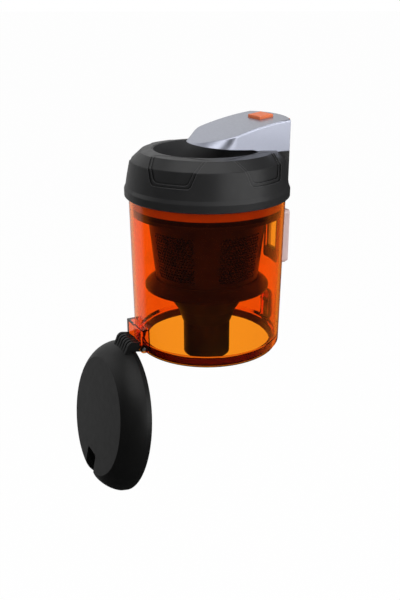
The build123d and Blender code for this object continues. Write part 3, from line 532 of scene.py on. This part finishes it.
def silver():
    """Silver paint with fine flakes under a thin clear coat."""
    surface = Surface("silver_paint", HANDLE_SILVER, roughness=0.36)
    surface.set("Metallic", 0.9)
    surface.set("Coat Weight", 0.25)
    surface.set("Coat Roughness", 0.12)
    surface.uneven_gloss(size=2 * MM, amount=0.04).mottled(size=0.25 * MM, change=0.05)
    return surface.soft_edges(radius=0.5 * MM).relief(height=0.004 * MM, size=0.3 * MM)


def orange():
    """Solid orange plastic with a fine moulded grain."""
    surface = Surface("orange_plastic", BUTTON_ORANGE, roughness=0.42)
    surface.uneven_gloss(size=3 * MM, amount=0.06).mottled(size=6 * MM, change=0.06)
    return surface.soft_edges(radius=0.35 * MM).relief(height=0.012 * MM, size=0.4 * MM)


def dark_plastic():
    """Dark plastic of the cyclone, the filter's frame and the latch."""
    surface = Surface("dark_plastic", CYCLONE_DARK, roughness=0.34)
    surface.set("Specular IOR Level", 0.25)
    surface.uneven_gloss(size=5 * MM, amount=0.06).mottled(size=11 * MM, change=0.15)
    return surface.soft_edges(radius=0.3 * MM).relief(height=0.02 * MM, size=0.5 * MM)


def rubber():
    surface = Surface("black_rubber", RUBBER_BLACK, roughness=0.62)
    surface.uneven_gloss(size=2 * MM, amount=0.08).mottled(size=7 * MM, change=0.2)
    return surface.relief(height=0.02 * MM, size=0.25 * MM)


def amber_rubber():
    """The bin's foot seal, which reads as a thin red line through the clear wall."""
    surface = Surface("amber_rubber", RUBBER_AMBER, roughness=0.55)
    surface.uneven_gloss(size=2 * MM, amount=0.08).mottled(size=7 * MM, change=0.1)
    return surface.relief(height=0.02 * MM, size=0.25 * MM)


def steel():
    """Bright steel with fine drawing marks along Y."""
    surface = Surface("bright_steel", STEEL_BRIGHT, roughness=0.28)
    surface.set("Metallic", 1.0)
    surface.uneven_gloss(size=0.6 * MM, amount=0.08).mottled(size=2 * MM, change=0.06)
    return surface.relief(height=0.004 * MM, size=0.2 * MM, detail=2.0, stretch=(1.0, 0.1, 1.0))


def filter_paper():
    surface = Surface("filter_paper", PAPER_PALE, roughness=0.85)
    return surface.mottled(size=1.5 * MM, change=0.06).relief(height=0.05 * MM, size=0.2 * MM, detail=6.0)


def foam():
    surface = Surface("grey_foam", FOAM_GREY, roughness=0.9)
    return surface.mottled(size=2 * MM, change=0.2).bumped(surface.cells(size=0.9 * MM), height=0.3 * MM)


# Finishes by the record's material slot, and those of single nodes that differ from their slot
MATERIALS = {
    "clear_orange": clear_orange,
    "clear_gasket": clear_gasket,
    "black_satin": black_satin,
    "charcoal": charcoal,
    "silver": silver,
    "orange": orange,
    "dark_plastic": dark_plastic,
    "rubber": rubber,
    "steel": steel,
    "filter_paper": filter_paper,
    "foam": foam,
}
OWN_FINISH = {"bin_bottom_seal": amber_rubber, "collar_dish": dish_painted_light_satin}


def dress_nodes():
    """Give every CAD node its finish, and return the finishes by slot."""
    finish = {slot: make().material for slot, make in MATERIALS.items()}
    for part in frame["record"]["subparts"]:
        node = nodes_of[part["node"]]
        own = OWN_FINISH.get(part["node"])
        material = own().material if own else finish[part["material_slot"]]
        for slot in node.material_slots:
            slot.material = material
    return finish


def mesh_cell_ring(row, column):
    """The twelve lattice points round one six-sided cell: its corners, and the middles between them."""
    half = LATTICE_STEP // 2
    shoulder = LATTICE_RISE // 3
    tip = 2 * shoulder
    across = LATTICE_STEP * column + half * (row % 2)
    up = LATTICE_RISE * row
    corners = [
        (across, up + tip),
        (across + half, up + shoulder),
        (across + half, up - shoulder),
        (across, up - tip),
        (across - half, up - shoulder),
        (across - half, up + shoulder),
    ]
    ring = []
    for here, after in zip(corners, corners[1:] + corners[:1]):
        ring.append(here)
        ring.append(((here[0] + after[0]) // 2, (here[1] + after[1]) // 2))
    return ring


def in_panel(angle):
    """Whether an angle round the shroud lies in a perforated panel."""
    step = 2 * math.pi / MESH_PANELS
    off = (angle - MESH_TURN + step / 2) % step - step / 2
    return abs(off) < MESH_PANEL_HALF


def close_shell(bm, inner_places):
    """Give an outer skin its inner skin, and walls round every hole and at both ends."""
    bm.verts.index_update()
    outer_verts = list(bm.verts)
    outer_faces = list(bm.faces)
    open_edges = [edge for edge in bm.edges if edge.is_boundary]
    inner_verts = [bm.verts.new(place) for place in inner_places]
    for face in outer_faces:
        bm.faces.new([inner_verts[v.index] for v in reversed(face.verts)])
    for edge in open_edges:
        loop = edge.link_loops[0]
        start = loop.vert.index
        end = loop.link_loop_next.vert.index
        bm.faces.new((outer_verts[end], outer_verts[start], inner_verts[start], inner_verts[end]))
    bmesh.ops.recalc_face_normals(bm, faces=bm.faces)


def build_shroud(finish):
    """The shroud's cone with its fine round holes, in the place of the CAD cone."""
    low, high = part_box("mesh_shroud")
    centre_x, centre_y = bin_axis()
    foot = low[Z_AXIS]
    top = high[Z_AXIS]
    top_r = (high[X_AXIS] - low[X_AXIS]) / 2
    rise = (top - foot) / MESH_ROWS
    step = 2 * math.pi / MESH_COLUMNS
    hole_r = MESH_HOLE_SHARE * rise
    bm = bmesh.new()
    shared = {}
    spots = []

    def height(up):
        return min(max(foot + (up / LATTICE_RISE + 0.5) * rise, foot), top)

    def cone_radius(z):
        return SHROUD_FOOT_R + (top_r - SHROUD_FOOT_R) * (z - foot) / (top - foot)

    def place(angle, z, inset):
        radius = cone_radius(z) - inset
        return centre_x + radius * math.cos(angle), centre_y + radius * math.sin(angle), z

    def vertex(angle, z):
        spots.append((angle, z))
        return bm.verts.new(place(angle, z, 0.0))

    def lattice_vertex(key, row):
        """The vertex at a lattice point, which neighbouring cells share. The end rows are cut off level."""
        across, up = key
        middle = LATTICE_RISE * row
        if row == 0 and up < middle:
            up = middle - LATTICE_RISE // 2
        if row == MESH_ROWS - 1 and up > middle:
            up = middle + LATTICE_RISE // 2
        name = (across % (LATTICE_STEP * MESH_COLUMNS), up)
        if name not in shared:
            shared[name] = vertex(name[0] / LATTICE_STEP * step, height(up))
        return shared[name]

    def hole_cell(ring, angle, z):
        """A cell with a round hole in its middle."""
        reach = hole_r / cone_radius(z)
        hole = []
        for index in range(HOLE_POINTS):
            turn = math.pi / 2 - index * 2 * math.pi / HOLE_POINTS
            hole.append(vertex(angle + reach * math.cos(turn), z + hole_r * math.sin(turn)))
        for index in range(HOLE_POINTS):
            after = (index + 1) % HOLE_POINTS
            bm.faces.new((hole[index], hole[after], ring[after], ring[index]))

    for row in range(MESH_ROWS):
        open_row = MESH_LOW_ROWS <= row < MESH_ROWS - MESH_HIGH_ROWS
        for column in range(MESH_COLUMNS):
            ring = [lattice_vertex(key, row) for key in mesh_cell_ring(row, column)]
            angle = (column + (row % 2) / 2) * step
            if open_row and in_panel(angle):
                hole_cell(ring, angle, height(LATTICE_RISE * row))
            else:
                bm.faces.new(list(dict.fromkeys(ring))[::-1])

    close_shell(bm, [place(angle, z, SHROUD_WALL) for angle, z in spots])
    mesh = bpy.data.meshes.new("shroud_mesh")
    bm.to_mesh(mesh)
    bm.free()
    mesh.shade_smooth()
    mesh.set_sharp_from_angle(angle=SHARP_ANGLE)
    mesh.materials.append(finish["dark_plastic"])
    piece = bpy.data.objects.new("shroud_mesh", mesh)
    bpy.context.scene.collection.objects.link(piece)
    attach(piece, "head")
    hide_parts("mesh_shroud")


def bend_spring(node, axis):
    """A copy of a spring in the CAD spring's place, which is hidden."""
    low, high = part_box(node)
    start = [(near + far) / 2 for near, far in zip(low, high)]
    end = list(start)
    start[axis] = low[axis]
    end[axis] = high[axis]
    spring = nodes_of[node]
    piece = bpy.data.objects.new(node + "_bent", spring.data.copy())
    piece.matrix_world = spring.matrix_world
    bpy.context.scene.collection.objects.link(piece)
    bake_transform(piece)
    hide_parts(node)


bpy.context.scene.view_settings.view_transform = "Standard"
add_camera()
add_world()
add_floor()
add_softbox("top_box", TOP_BOX_AT, TOP_BOX_SIZE, TOP_BOX_WATTS)
add_softbox("left_box", LEFT_BOX_AT, LEFT_BOX_SIZE, LEFT_BOX_WATTS)
add_softbox("right_box", RIGHT_BOX_AT, RIGHT_BOX_SIZE, RIGHT_BOX_WATTS)
finish_of = dress_nodes()
build_shroud(finish_of)
bend_spring("lever_spring", Z_AXIS)
bend_spring("latch_spring", X_AXIS)
